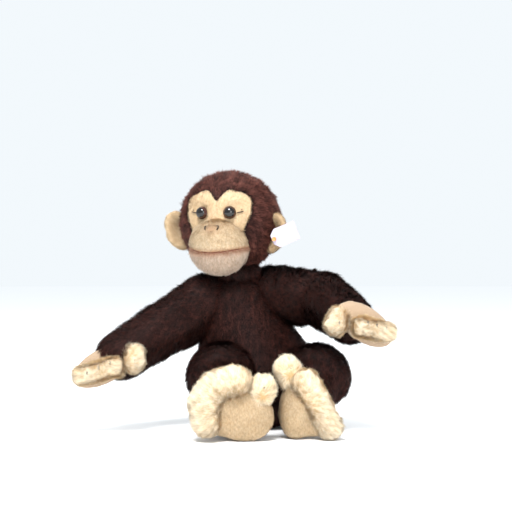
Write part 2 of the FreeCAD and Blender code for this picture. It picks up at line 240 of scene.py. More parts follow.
def wave_noise(points, size, seed, count=5):
    """Smooth 3-D noise from -1 to 1 with features of about this size, one value for each point."""
    rng = np.random.default_rng(seed)
    total = np.zeros(len(points))
    for _ in range(count):
        direction = rng.normal(size=3)
        direction *= 2 * math.pi / (size * rng.uniform(0.7, 1.6) * np.linalg.norm(direction))
        total += np.sin(points @ direction + rng.uniform(0, 2 * math.pi))
    return total / count * 1.6


def bump_out(obj, amount):
    """Move every point along its normal by what amount(points, normals) gives, in metres."""
    points = vertex_points(obj.data)
    normals = vertex_normals(obj.data)
    set_points(obj.data, points + normals * amount(points, normals)[:, None])


def near_line(points, start, end, width):
    """1 on the line from start to end, falling smoothly to 0 at this distance from it."""
    along = np.clip((points - start) @ (end - start) / ((end - start) @ (end - start)), 0, 1)
    distance = np.linalg.norm(points - start - along[:, None] * (end - start), axis=1)
    return np.exp(-(distance / width) ** 2)


# ---- materials ----------------------------------------------------------

def srgb(red, green, blue):
    """A colour given in 0-255 screen values, as linear light."""
    values = np.array((red, green, blue)) / 255.0
    linear = np.where(values <= 0.04045, values / 12.92, ((values + 0.055) / 1.055) ** 2.4)
    return (*linear, 1.0)


def new_material(name, roughness, sheen=0.0, sheen_tint=(1, 1, 1, 1), coat=0.0):
    material = bpy.data.materials.new(name)
    material.use_nodes = True
    shader = material.node_tree.nodes["Principled BSDF"]
    shader.inputs["Roughness"].default_value = roughness
    shader.inputs["Sheen Weight"].default_value = sheen
    shader.inputs["Sheen Roughness"].default_value = 0.4
    shader.inputs["Sheen Tint"].default_value = sheen_tint
    shader.inputs["Coat Weight"].default_value = coat
    shader.inputs["Specular IOR Level"].default_value = 0.25
    return material, material.node_tree.nodes, material.node_tree.links, shader


def ramp(nodes, links, amount, stops):
    """The colour that an amount from 0 to 1 stands for."""
    node = nodes.new("ShaderNodeValToRGB")
    while len(node.color_ramp.elements) < len(stops):
        node.color_ramp.elements.new(0.5)
    for element, (position, colour) in zip(node.color_ramp.elements, stops):
        element.position = position
        element.color = colour
    links.new(amount, node.inputs["Fac"])
    return node.outputs["Color"]


def noise_node(nodes, links, scale, detail=3.0):
    coordinates = nodes.new("ShaderNodeTexCoord")
    node = nodes.new("ShaderNodeTexNoise")
    node.inputs["Scale"].default_value = scale
    node.inputs["Detail"].default_value = detail
    links.new(coordinates.outputs["Object"], node.inputs["Vector"])
    return node


def mixed(nodes, links, factor, first, second, mode="MIX"):
    """Mix two colours, each a socket or a plain colour."""
    node = nodes.new("ShaderNodeMix")
    node.data_type = "RGBA"
    node.blend_type = mode
    for socket, value in (("Factor", factor), ("A", first), ("B", second)):
        target = [s for s in node.inputs if s.name == socket and (s.type == "RGBA" or socket == "Factor")][0]
        if isinstance(value, (int, float, tuple)):
            target.default_value = value
        else:
            links.new(value, target)
    return [s for s in node.outputs if s.type == "RGBA"][0]


def blushed(nodes, links, colour, tint):
    """Tint a colour where the mesh's blush attribute says so."""
    amount = nodes.new("ShaderNodeAttribute")
    amount.attribute_name = "blush"
    tinted = mixed(nodes, links, 1.0, colour, tint, "MULTIPLY")
    return mixed(nodes, links, amount.outputs["Fac"], colour, tinted)


def pile_material(name, root_shade, body, tip_highlight, clump, contrast, sheen=0.0, sheen_tint=(1, 1, 1, 1), blush=None):
    """Blades are dark at the root, painted shade deep in the pile, and pale at the tip, a painted highlight,
    with a tone of their own and patches of tone.
    """
    material, nodes, links, shader = new_material(name, 0.62, sheen, sheen_tint)
    shader.inputs["Specular IOR Level"].default_value = 0.12
    blade = nodes.new("ShaderNodeUVMap")
    blade.uv_map = "blade"
    parts = nodes.new("ShaderNodeSeparateXYZ")
    links.new(blade.outputs["UV"], parts.inputs["Vector"])
    # From root to tip: the dark root is painted shade deep in the pile, and the pale tip is a painted
    # highlight.
    along = ramp(nodes, links, parts.outputs["Y"], [(0.0, root_shade), (0.45, body), (1.0, tip_highlight)])
    low, high = 1 - contrast, 1 + contrast * 0.8
    # Each blade's own tone holds the painted light on tuft crests and the painted shade between tufts.
    own = ramp(nodes, links, parts.outputs["X"],
               [(0.0, (low, low * 0.97, low * 0.95, 1)), (0.55, (1.0, 1.0, 1.0, 1)),
                (1.0, (high, high * 0.98, high * 0.96, 1))])
    toned = mixed(nodes, links, 1.0, along, own, "MULTIPLY")
    patches = noise_node(nodes, links, 60.0)
    spread = ramp(nodes, links, patches.outputs["Fac"], [(0.38, (0, 0, 0, 1)), (0.68, (1, 1, 1, 1))])
    final = mixed(nodes, links, spread, toned, mixed(nodes, links, 1.0, toned, clump, "MULTIPLY"))
    if blush is not None:
        final = blushed(nodes, links, final, blush)
    links.new(final, shader.inputs["Base Color"])
    return material


def cloth_material(name, colour, dark, scale, sheen=0.2):
    """Knitted backing: fine noise in tone with a matching bump."""
    material, nodes, links, shader = new_material(name, 0.85, sheen)
    grain = noise_node(nodes, links, scale, 5.0)
    tone = ramp(nodes, links, grain.outputs["Fac"], [(0.3, dark), (0.7, colour)])
    links.new(tone, shader.inputs["Base Color"])
    bump = nodes.new("ShaderNodeBump")
    bump.inputs["Strength"].default_value = 0.35
    bump.inputs["Distance"].default_value = BUMP_DEPTH
    links.new(grain.outputs["Fac"], bump.inputs["Height"])
    links.new(bump.outputs["Normal"], shader.inputs["Normal"])
    return material


def dress(obj, body, material, replaces=()):
    """What every piece gets: its material in a slot, the nodes it stands for hidden, and its body when one is
    named; otherwise its placement is baked into its mesh.
    """
    obj.data.materials.clear()
    obj.data.materials.append(material)
    if isinstance(body, str):
        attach(obj, body)
    else:
        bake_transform(obj)
    if replaces:
        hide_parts(*replaces)
    return obj


# ---- pile ---------------------------------------------------------------

BLADE_POINTS = 5      # two at the root, two in the middle and the tip
BLADE_CORNERS = 7     # a quad below and a triangle above
ROOT_DEPTH = 0.4 * MM
PLAIN_TUFT = (6 * MM, 0.22)


def scatter(mesh, density, rng, keep=None):
    """Root points and normals, spread evenly over a mesh at so many per square millimetre."""
    mesh.calc_loop_triangles()
    triangles = np.empty(len(mesh.loop_triangles) * 3, dtype=np.int64)
    mesh.loop_triangles.foreach_get("vertices", triangles)
    triangles = triangles.reshape(-1, 3)
    points = vertex_points(mesh)
    normals = vertex_normals(mesh)
    a, b, c = (points[triangles[:, i]] for i in range(3))
    areas = np.linalg.norm(np.cross(b - a, c - a), axis=1) / 2
    count = int(areas.sum() * density / MM ** 2)
    chosen = rng.choice(len(triangles), size=count, p=areas / areas.sum())
    u, v = rng.random(count), rng.random(count)
    flip = u + v > 1
    u[flip], v[flip] = 1 - u[flip], 1 - v[flip]
    weights = np.stack((1 - u - v, u, v), axis=1)[:, :, None]
    corners = triangles[chosen]
    roots = (points[corners] * weights).sum(1)
    outward = (normals[corners] * weights).sum(1)
    outward /= np.maximum(np.linalg.norm(outward, axis=1, keepdims=True), 1e-9)
    if keep is not None:
        kept = keep(roots, outward)
        roots, outward = roots[kept], outward[kept]
    return roots, outward


def unit(vectors):
    return vectors / np.maximum(np.linalg.norm(vectors, axis=1, keepdims=True), 1e-9)


def vector_noise(points, size, seed):
    return np.stack([wave_noise(points, size, seed + axis) for axis in range(3)], axis=1)


def tufts(points, size, seed, count=12):
    """Which way the middle of the nearest tuft lies, and how near it is (about -1 to 1)."""
    rng = np.random.default_rng(seed)
    slope = np.zeros((len(points), 3))
    height = np.zeros(len(points))
    for _ in range(count):
        direction = rng.normal(size=3)
        direction *= 2 * math.pi / (size * rng.uniform(0.8, 1.5) * np.linalg.norm(direction))
        phase = points @ direction + rng.uniform(0, 2 * math.pi)
        height += np.sin(phase)
        slope += np.cos(phase)[:, None] * direction
    return slope * size / (2 * math.pi) / math.sqrt(count), height / math.sqrt(count)


def grow_pile(name, skin, density, length, width, lift, comb, seed, keep=None, curl=0.35,
              tuft=PLAIN_TUFT, blush=None):
    """Cover a skin with tapered blades that lean along comb(points), stand up by lift and gather in tufts."""
    rng = np.random.default_rng(seed)
    roots, outward = scatter(skin.data, density, rng, keep)
    count = len(roots)
    flow = comb(roots)
    flow = unit(flow - (flow * outward).sum(1, keepdims=True) * outward)
    swirl = vector_noise(roots, 14 * MM, seed + 10) * 0.5 + vector_noise(roots, 5 * MM, seed + 20) * 0.35
    jitter = rng.normal(scale=0.22, size=(count, 3))
    stand = lift * (1 + 0.25 * wave_noise(roots, 9 * MM, seed + 30))[:, None]
    gather, painted_crest_shade = tufts(roots, tuft[0], seed + 50)
    gather -= (gather * outward).sum(1, keepdims=True) * outward
    lean = unit(flow + outward * stand + swirl * 0.5 + jitter + gather * tuft[1])
    lengths = length * rng.uniform(0.65, 1.15, count) * (1 + 0.15 * wave_noise(roots, 12 * MM, seed + 40))
    lengths = lengths[:, None]
    bend = unit(lean + flow * curl - outward * curl * 0.4 + gather * tuft[1]
                + rng.normal(scale=0.12, size=(count, 3)))
    middle = roots + lean * lengths * 0.5
    tips = middle + bend * lengths * 0.55
    across = np.cross(lean, outward)
    girth = np.linalg.norm(across, axis=1, keepdims=True)
    across = unit(across + rng.normal(scale=0.35, size=(count, 3)) * girth)
    across = unit(across - (across * lean).sum(1, keepdims=True) * lean)
    half = width * rng.uniform(0.7, 1.2, count)[:, None] / 2
    foot = roots - outward * ROOT_DEPTH
    vertices = np.stack((foot - across * half, foot + across * half,
                         middle - across * half * 0.8, middle + across * half * 0.8, tips), axis=1)
    vertices[:, :, 2] = np.maximum(vertices[:, :, 2], FLOOR_CLEAR)
    base = np.arange(count)[:, None] * BLADE_POINTS
    corners = np.concatenate((base + 0, base + 1, base + 3, base + 2, base + 2, base + 3, base + 4), axis=1)
    mesh = bpy.data.meshes.new(name)
    mesh.vertices.add(count * BLADE_POINTS)
    mesh.vertices.foreach_set("co", vertices.ravel())
    mesh.loops.add(count * BLADE_CORNERS)
    mesh.loops.foreach_set("vertex_index", corners.ravel())
    mesh.polygons.add(count * 2)
    starts = (np.arange(count)[:, None] * BLADE_CORNERS + np.array((0, 4))).ravel()
    mesh.polygons.foreach_set("loop_start", starts)
    mesh.update(calc_edges=True)
    mesh.shade_smooth()
    # Blades near a tuft's crest get a lighter tone and blades between tufts a darker one: painted light and
    # shade; the rest is random tone.
    add_blade_maps(mesh, 0.5 + 0.22 * painted_crest_shade + rng.uniform(-0.3, 0.3, count))
    if blush is not None:
        add_blush(mesh, np.repeat(blush(roots), BLADE_POINTS))
    face = unit(np.cross(across, bend))
    face *= np.where((face * outward).sum(1, keepdims=True) < 0, -1, 1)
    shade = unit(outward * 0.75 + face * 0.25 + lean * 0.15)
    mesh.normals_split_custom_set_from_vertices(np.repeat(shade, BLADE_POINTS, axis=0).tolist())
    return new_object(name, mesh)


def add_blush(mesh, amount):
    """How strongly each vertex is tinted, for the shader."""
    mesh.attributes.new("blush", "FLOAT", "POINT").data.foreach_set("value", np.clip(amount, 0, 1))


def add_blade_maps(mesh, tone):
    """The blade map holds each blade's tone, random and also lighter at tuft crests and darker between tufts
    as painted light and shade, and the way along; the bake map gives each blade its own cell.
    """
    along = np.array((0.0, 0.0, 0.5, 0.5, 0.5, 0.5, 1.0))
    count = len(tone)
    tone = np.clip(tone, 0.02, 0.98)
    blade = np.empty((count, BLADE_CORNERS, 2))
    blade[:, :, 0] = tone[:, None]
    blade[:, :, 1] = along
    mesh.uv_layers.new(name="blade").data.foreach_set("uv", blade.ravel())
    cells = int(math.ceil(math.sqrt(count)))
    corner_x = np.array((0.1, 0.9, 0.8, 0.2, 0.2, 0.8, 0.5))
    corner_y = np.array((0.1, 0.1, 0.5, 0.5, 0.5, 0.5, 0.9))
    index = np.arange(count)[:, None]
    grid = np.empty((count, BLADE_CORNERS, 2))
    grid[:, :, 0] = (index % cells + corner_x) / cells
    grid[:, :, 1] = (index // cells + corner_y) / cells
    mesh.uv_layers.new(name="OFBake").data.foreach_set("uv", grid.ravel())


# ---- studio -------------------------------------------------------------

CAMERA_AZIMUTH = 12.0
CAMERA_DISTANCE = 1.281
CAMERA_HEIGHT = 0.1695
CAMERA_ASIDE = 0.001
LENS_MM = 90.07
SENSOR_MM = 36.0
SKY = 0.98            # strength of the surrounding light
LIGHT_AIM = Vector((0, 0, 0.12))
FLOOR_RADIUS = 6.0
FLOOR_SIDES = 64


def make_studio():
    turn = math.radians(CAMERA_AZIMUTH)
    forward = Vector((math.sin(turn), math.cos(turn), 0))
    sideways = Vector((math.cos(turn), -math.sin(turn), 0))
    camera = bpy.data.objects.new("camera", bpy.data.cameras.new("camera"))
    camera.data.lens = LENS_MM
    camera.data.sensor_width = SENSOR_MM
    camera.data.clip_start = 0.05
    camera.data.clip_end = 50.0
    camera.location = sideways * CAMERA_ASIDE - forward * CAMERA_DISTANCE + Vector((0, 0, CAMERA_HEIGHT))
    camera.rotation_euler = forward.to_track_quat("-Z", "Y").to_euler()
    bpy.context.scene.collection.objects.link(camera)
    bpy.context.scene.camera = camera

    floor = new_object("floor", floor_mesh())
    material, _, _, shader = new_material("floor_paper", 1.0)
    shader.inputs["Base Color"].default_value = srgb(255, 255, 255)
    shader.inputs["Specular IOR Level"].default_value = 0.0
    floor.data.materials.append(material)

    world = bpy.data.worlds.new("world")
    world.use_nodes = True
    background = world.node_tree.nodes["Background"]
    background.inputs["Color"].default_value = srgb(245, 251, 255)
    background.inputs["Strength"].default_value = SKY
    bpy.context.scene.world = world
    bpy.context.scene.view_settings.view_transform = "Standard"
    add_light("key", (-0.45, -0.95, 1.6), 0.7, 50.0)
    add_light("fill", (0.3, -1.7, 0.45), 1.0, 11.0)
    add_light("back", (0.2, 1.2, 1.4), 1.2, 8.0)
    add_light("spark", (0.15, -1.5, 1.0), 0.12, 1.5)


def floor_mesh():
    """A flat disc."""
    angles = [2 * math.pi * side / FLOOR_SIDES for side in range(FLOOR_SIDES)]
    vertices = [(FLOOR_RADIUS * math.cos(angle), FLOOR_RADIUS * math.sin(angle), 0) for angle in angles]
    return mesh_from("floor", vertices, [tuple(range(FLOOR_SIDES))])


def add_light(name, place, size, power):
    light = bpy.data.lights.new(name, "AREA")
    light.shape = "DISK"
    light.size = size
    light.energy = power
    obj = bpy.data.objects.new(name, light)
    obj.location = place
    aim = LIGHT_AIM - Vector(place)
    obj.rotation_euler = aim.to_track_quat("-Z", "Y").to_euler()
    bpy.context.scene.collection.objects.link(obj)


make_studio()


# ---- materials of the toy -----------------------------------------------

# Each pile darkens towards its root as painted shade deep in the pile, and pales towards its tip as a painted
# highlight.
BROWN_PILE = pile_material("brown_pile", srgb(6, 2, 2), srgb(24, 10, 8), srgb(78, 42, 35),
                           (0.66, 0.6, 0.58, 1), 0.5)
# The head's pile is a lighter copy of the brown pile: painted light, for the light falling on the head from
# above.
PAINTED_LIT_CROWN_PILE = pile_material("painted_lit_crown_pile", srgb(10, 4, 3), srgb(44, 21, 17), srgb(124, 76, 66),
                           (0.5, 0.44, 0.42, 1), 0.6)
BEIGE_PILE = pile_material("beige_pile", srgb(172, 140, 102), srgb(194, 170, 136), srgb(212, 192, 162),
                           (0.97, 0.94, 0.9, 1), 0.2, 0.1, (1, 0.95, 0.9, 1))
CREAM_PILE = pile_material("cream_pile", srgb(204, 160, 104), srgb(222, 200, 164), srgb(240, 232, 214),
                           (0.97, 0.93, 0.86, 1), 0.3, 0.1, (1, 0.97, 0.9, 1))
CHIN_PILE = pile_material("chin_pile", srgb(160, 128, 104), srgb(190, 166, 144), srgb(214, 198, 182),
                          (0.96, 0.93, 0.9, 1), 0.25, 0.1, (1, 0.97, 0.95, 1), (0.62, 0.42, 0.34, 1))
MUZZLE_PILE = pile_material("muzzle_pile", srgb(176, 144, 108), srgb(200, 178, 146), srgb(218, 200, 172),
                            (0.97, 0.94, 0.9, 1), 0.2, 0.1, (1, 0.95, 0.9, 1), (0.86, 0.5, 0.36, 1))
BROWN_CLOTH = cloth_material("brown_cloth", srgb(40, 21, 17), srgb(20, 10, 8), 900.0)
BEIGE_CLOTH = cloth_material("beige_cloth", srgb(194, 166, 128), srgb(176, 144, 106), 1200.0)
CHIN_CLOTH = cloth_material("chin_cloth", srgb(186, 160, 138), srgb(166, 136, 114), 1200.0)
CREAM_CLOTH = cloth_material("cream_cloth", srgb(206, 176, 130), srgb(188, 152, 104), 1200.0)
SUEDE = cloth_material("suede", srgb(164, 142, 118), srgb(146, 124, 102), 1600.0)
PELLET_CLOTH = cloth_material("pellet_cloth", srgb(238, 236, 228), srgb(214, 210, 200), 1500.0)
STITCH_THREAD = cloth_material("stitch_thread", srgb(96, 82, 72), srgb(60, 50, 44), 2500.0)
DARK_THREAD = cloth_material("dark_thread", srgb(40, 28, 26), srgb(18, 12, 12), 2500.0)
MOUTH_THREAD = cloth_material("mouth_thread", srgb(120, 62, 44), srgb(74, 36, 28), 2500.0)


def plastic_material(name, colour, deep):
    """Polished plastic with a faint cloud in its tone."""
    material, nodes, links, shader = new_material(name, 0.05)
    shader.inputs["Specular IOR Level"].default_value = 0.5
    cloud = noise_node(nodes, links, 400.0)
    tone = ramp(nodes, links, cloud.outputs["Fac"], [(0.35, deep), (0.65, colour)])
    links.new(tone, shader.inputs["Base Color"])
    return material


EYE_PLASTIC = plastic_material("eye_plastic", srgb(14, 9, 8), srgb(5, 4, 4))
IRIS_PLASTIC = plastic_material("iris_plastic", srgb(64, 30, 18), srgb(40, 18, 12))
PIN_PLASTIC = plastic_material("pin_plastic", srgb(226, 150, 92), srgb(206, 122, 66))
WASHER_PLASTIC = plastic_material("washer_plastic", srgb(244, 244, 240), srgb(226, 226, 220))
TAG_CARD = cloth_material("tag_card", srgb(180, 174, 184), srgb(170, 162, 176), 300.0, 0.0)

BROWN_LENGTH = 5.8 * MM
BROWN_WIDTH = 0.45 * MM
BROWN_DENSITY = 2.2
BROWN_LIFT = 0.95


def toward(direction):
    """A comb that lays the pile the same way everywhere."""
    return lambda points: np.tile(np.array(direction, dtype=float), (len(points), 1))


def outside(*shapes):
    """A test that leaves out roots that lie inside given balls (centre, radius)."""
    def keep(points, normals):
        free = np.ones(len(points), dtype=bool)
        for centre, radius in shapes:
            free &= np.linalg.norm(points - centre, axis=1) > radius
        return free
    return keep


def brown_pile(name, skin, body, comb, seed, keep=None):
    pile = grow_pile(name, skin, BROWN_DENSITY, BROWN_LENGTH, BROWN_WIDTH, BROWN_LIFT, comb, seed, keep)
    return dress(pile, body, BROWN_PILE)


# ---- torso and neck -----------------------------------------------------

LIMB_VOXEL = 4 * MM
FINE_VOXEL = 2.5 * MM
SHOULDER_BARE = 20 * MM     # no pile grows on the torso inside the root of a limb
HIP_BARE = 22 * MM
COLLAR_RADII = (24 * MM, 23 * MM, 15 * MM)
COLLAR_DROP = 4 * MM

# Creases and swellings of the torso: where each starts and ends, as fractions
# of the belly panel's box, its width and its height in millimetres.
TORSO_FOLDS = [((0.24, 0.1, 0.9), (0.3, 0.0, 0.35), 5, -3.0),
               ((0.95, 0.6, 0.62), (1.0, 0.6, 0.4), 22, 5.0),
               ((0.06, 0.6, 0.55), (0.3, 0.15, 0.3), 5, -2.0)]
BELLY_AT = (0.5, 0.0, 0.25)
BELLY_SAG = 3.0
BELLY_REACH = 38 * MM


def make_torso():
    torso = melt("torso_cover", [hull_mesh(node_points("belly_panel", "back_panel"))], LIMB_VOXEL, 4)

    def folds(points, normals):
        belly = np.linalg.norm(points - at("belly_panel", *BELLY_AT), axis=1)
        total = BELLY_SAG * np.exp(-(belly / BELLY_REACH) ** 2) + 1.2 * wave_noise(points, 45 * MM, 3)
        for start, end, width, height in TORSO_FOLDS:
            line = near_line(points, at("belly_panel", *start), at("belly_panel", *end), width * MM)
            total += height * line
        return total * MM

    inflate(torso, 4.0, 5 * MM)
    refine(torso)
    bump_out(torso, folds)
    keep_off_floor(torso)
    dress(torso, "torso", BROWN_CLOTH, ("belly_panel", "back_panel", "torso_filling"))
    inner = [(JOINT_AT["shoulder_" + side], SHOULDER_BARE) for side in SIDES]
    inner += [(JOINT_AT["hip_" + side], HIP_BARE) for side in SIDES]
    clear = outside(*inner)
    for part, sign, seed in (("front", -1, 11), ("back", 1, 13)):
        brown_pile("torso_pile_" + part, torso, "torso", toward((0, 0, -1)), seed,
                   lambda points, normals: clear(points, normals) & (points[:, 1] * sign > 0))

    collar = ball_mesh(JOINT_AT["head_nod"] - COLLAR_DROP * UP, COLLAR_RADII)
    neck = melt("neck_cover", [collar, hull_mesh(node_points("neck_filling"))], 3 * MM, 2)
    refine(neck)
    dress(neck, "neck", BROWN_CLOTH, ("neck_filling",))
    brown_pile("neck_pile", neck, "neck", toward((0, 0, -1)), 12)


# ---- limbs --------------------------------------------------------------

BEND_REACH = 16 * MM        # the stretch across a joint reaches this far before and after it


def bend_at(joint, along, bodies):
    """The two bodies of a sleeve and the stretch across the joint between them."""
    along = along / np.linalg.norm(along)
    return (*bodies, tuple(joint - along * BEND_REACH), tuple(joint + along * BEND_REACH))


def limb_cover(name, bodies):
    """One inflated skin over both halves of a limb, and the nodes that it stands for."""
    sleeves = []
    for body in bodies:
        part, side = body.rsplit("_", 1)
        sleeves.append(part + "_sleeve_" + side)
    cover = melt(name, [hull_mesh(node_points(sleeve)) for sleeve in sleeves], LIMB_VOXEL, 5)
    inflate(cover, 3.0, 4 * MM)
    refine(cover)
    nodes = []
    for sleeve in sleeves:
        nodes += [sleeve, sleeve.replace("sleeve", "filling")]
    return cover, nodes


def make_arm(side):
    """One sleeve from the shoulder to the cuff, over the elbow."""
    bodies = ("upper_arm_" + side, "forearm_" + side)
    sleeve, nodes = limb_cover("arm_cover_" + side, bodies)
    elbow = JOINT_AT["elbow_" + side]
    shoulder = JOINT_AT["shoulder_" + side]
    bump_out(sleeve, lambda points, normals: (1.2 + 1.2 * wave_noise(points, 30 * MM, 21)) * MM)
    bend = bend_at(elbow, elbow - shoulder, bodies)
    dress(sleeve, bend, BROWN_CLOTH, nodes)
    wrist = at("palm_" + side, 0.5, 0.5, 0.5)
    brown_pile("arm_pile_" + side, sleeve, bend, toward(wrist - shoulder), 31 if side == "right" else 32)


def make_leg(side):
    """One sleeve from the hip to the ankle, over the knee."""
    bodies = ("thigh_" + side, "shin_" + side)
    sleeve, nodes = limb_cover("leg_cover_" + side, bodies)
    keep_off_floor(sleeve)
    knee = JOINT_AT["knee_" + side]
    ankle = at("sole_" + side, 0.5, 0.9, 0.5)
    bend = bend_at(knee, ankle - knee, bodies)
    dress(sleeve, bend, BROWN_CLOTH, nodes)
    brown_pile("leg_pile_" + side, sleeve, bend, toward((0, -0.3, -1)), 41 if side == "right" else 42)


# ---- head ---------------------------------------------------------------

# Millimetres in the head's own axes.
MASK_HALF_WIDTH = 31.0
MASK_TOP = 28.5
MASK_FRONT = -13.0
MASK_BOTTOM = -30.0
MASK_WIDEST_Z = 14.0
MASK_TAPER_Z = 6.0          # below this the mask narrows
MASK_TAPER = 0.38
MASK_GROW = 0.5             # the mask and the brown pile overlap by this much
PEAK_DROP = 11.0
PEAK_WIDTH = 7.0
MOUTH_Z = -31.0
MOUTH_LIFT = 3.5
MOUTH_HALF_WIDTH = 25.0
GUSSET_HALF = 17.0
NECK_HOLE_Z = -46.0
SOCKET_AT = (14.0, 7.0)
BROW_AT = (15.0, 21.0)

SHORT_TUFT = (3.0 * MM, 0.12)
CROWN_TUFT = (8 * MM, 0.5)
SHORT_WIDTH = 0.32 * MM


def in_mask(local, grow=0.0):
    """Whether points, in the head's own millimetres, lie on the heart-shaped face mask."""
    x, y, z = local.T
    top = MASK_TOP + grow - PEAK_DROP * np.exp(-(x / PEAK_WIDTH) ** 2)
    rise = np.maximum((z - MASK_WIDEST_Z) / (top - MASK_WIDEST_Z), 0)
    reach = (x / (MASK_HALF_WIDTH + grow)) ** 2 + rise ** 2.6
    lower = np.abs(x) < MASK_HALF_WIDTH + grow + np.minimum(z - MASK_TAPER_Z, 0) * MASK_TAPER
    return (reach < 1) & lower & (y < MASK_FRONT) & (z > MASK_BOTTOM)


def trim_to(obj, test):
    """Keep only the faces whose middle passes a test in the head's own millimetres."""
    shell = bmesh.new()
    shell.from_mesh(obj.data)
    middles = np.array([face.calc_center_median() for face in shell.faces])
    passed = test(head_local(middles))
    shell.faces.ensure_lookup_table()
    bmesh.ops.delete(shell, geom=[shell.faces[i] for i in np.nonzero(~passed)[0]], context="FACES")
    shell.to_mesh(obj.data)
    shell.free()


def thicken(obj, depth):
    """Give an open patch of cloth a back and edges."""
    solid = obj.modifiers.new("thicken", "SOLIDIFY")
    solid.thickness = depth
    solid.offset = -1
    settle(obj)


def smile(x):
    """How far the mouth line rises above its middle."""
    return MOUTH_LIFT * (x / MOUTH_HALF_WIDTH) ** 2


def split_mouth(name, mesh, sign):
    """The part of the muzzle above (1) or below (-1) the smiling mouth line, closed."""
    points = vertex_points(mesh)
    part = mesh.copy()
    set_points(part, points - smile(head_local(points)[:, 0])[:, None] * MM * UP)
    shell = bmesh.new()
    shell.from_mesh(part)
    bmesh.ops.bisect_plane(shell, geom=shell.verts[:] + shell.edges[:] + shell.faces[:],
                           plane_co=head_point(0, 0, MOUTH_Z + sign * 0.15), plane_no=-sign * UP,
                           clear_outer=True)
    rim = [edge for edge in shell.edges if edge.is_boundary]
    bmesh.ops.holes_fill(shell, edges=rim)
    bmesh.ops.triangulate(shell, faces=[face for face in shell.faces if len(face.verts) > 4])
    shell.to_mesh(part)
    shell.free()
    points = vertex_points(part)
    set_points(part, points + smile(head_local(points)[:, 0])[:, None] * MM * UP)
    part.shade_smooth()
    return new_object(name, part)


def lip_roll(points, normals):
    """The lips roll in towards the mouth line."""
    local = head_local(points)
    line = MOUTH_Z + smile(local[:, 0])
    front = np.clip((-30 - local[:, 1]) / 12, 0, 1)
    return -1.6 * MM * front * np.exp(-((local[:, 2] - line) / 2.2) ** 2)


def airbrush(points):
    """The tint sprayed along the mouth line and between the nostrils."""
    local = head_local(points)
    line = MOUTH_Z + smile(local[:, 0])
    mouth = np.exp(-((local[:, 2] - line) / 2.6) ** 2)
    nose = 0.45 * np.exp(-(local[:, 0] / 6) ** 2 - ((local[:, 2] + 8) / 4) ** 2)
    return mouth + nose


def make_head():
    skull = melt("head_cover", [ball_mesh(HEAD_AT, HEAD_HALF, HEAD_TURN, 64)], 3 * MM, 2)
    inflate(skull, 3.0, 2 * MM)
    refine(skull)

    def shape(points, normals):
        x, y, z = head_local(points).T
        out = np.abs(x)
        seam = np.exp(-((out - GUSSET_HALF) / 1.6) ** 2) * ((z > 20) | (y > 10))
        socket = np.exp(-(((out - SOCKET_AT[0]) / 9) ** 2 + ((z - SOCKET_AT[1]) / 8) ** 2)) * (y < 0)
        brow = np.exp(-(((out - BROW_AT[0]) / 12) ** 2 + ((z - BROW_AT[1]) / 6) ** 2)) * (y < 0)
        middle = np.exp(-(x / 1.5) ** 2) * (y < 0) * (z < 24)
        return (-1.3 * seam - 2.0 * socket + 1.6 * brow - 0.9 * middle) * MM

    bump_out(skull, shape)
    dress(skull, "head", BROWN_CLOTH,
          ("crown_gusset", "head_side_right", "head_side_left", "head_filling"))

    def haired(points, normals):
        local = head_local(points)
        return ~in_mask(local, MASK_GROW) & (local[:, 2] > NECK_HOLE_Z)

    pile = grow_pile("head_pile", skull, 2.4, BROWN_LENGTH * 1.05, BROWN_WIDTH, 0.8,
                     toward(HEAD_Y - 0.3 * UP), 51, haired, tuft=CROWN_TUFT)
    # The whole head pile is painted lighter than the body's, as light falling on the head from above.
    dress(pile, "head", PAINTED_LIT_CROWN_PILE)

    mask = new_object("face_mask_cover", skull.data.copy())
    refine(mask)
    trim_to(mask, lambda local: in_mask(local, MASK_GROW))
    bump_out(mask, lambda points, normals: np.full(len(points), 0.6 * MM))
    thicken(mask, 1.0 * MM)
    mask.data.shade_smooth()
    dress(mask, "head", BEIGE_CLOTH, ("face_mask",))
    away = toward(UP * 0.6 - HEAD_Y * 0.2)
    pile = grow_pile("face_mask_pile", mask, 6.0, 2.6 * MM, SHORT_WIDTH, 0.9, away, 52,
                     lambda points, normals: clear_of_eyes(points), 0.3, SHORT_TUFT)
    dress(pile, "head", BEIGE_PILE)

    muzzle = melt("muzzle_form", [hull_mesh(node_points("muzzle_panel", "chin_panel"))], FINE_VOXEL, 3)
    inflate(muzzle, 3.0, 1.5 * MM)
    refine(muzzle)
    bump_out(muzzle, lip_roll)
    whole = muzzle.data
    bpy.data.objects.remove(muzzle)
    upper = split_mouth("muzzle_cover", whole, 1)
    dress(upper, "head", BEIGE_CLOTH, ("muzzle_panel", "muzzle_filling"))
    lower = split_mouth("chin_cover", whole, -1)
    dress(lower, "head", CHIN_CLOTH, ("chin_panel",))
    outer = outside((HEAD_AT, HEAD_HALF[1] - 2 * MM))
    pile = grow_pile("muzzle_pile", upper, 6.0, 2.4 * MM, SHORT_WIDTH, 0.9, toward(-UP), 53, outer, 0.3,
                     SHORT_TUFT, airbrush)
    dress(pile, "head", MUZZLE_PILE)
    pile = grow_pile("chin_pile", lower, 5.0, 4.0 * MM, 0.34 * MM, 0.7, toward(-UP + HEAD_Y * 0.3), 54,
                     outer, 0.3, SHORT_TUFT, airbrush)
    dress(pile, "head", CHIN_PILE)


# ---- eyes, ears and face stitches ---------------------------------------

EYE_YAW = math.radians(17)
EYE_R = 5.6


def eye_front(side):
    """The eye's apex and the direction in which it looks."""
    sign = SIDES[side]
    look = np.array((sign * math.sin(EYE_YAW), -math.cos(EYE_YAW), 0)) @ HEAD_TURN
    cloud = node_points("eye_" + side)
    return cloud[np.argmax(cloud @ look)], look


def clear_of_eyes(points):
    free = np.ones(len(points), dtype=bool)
    for side in SIDES:
        apex, look = eye_front(side)
        free &= np.linalg.norm(points - (apex - look * EYE_R * MM), axis=1) > (EYE_R + 0.3) * MM
    return free


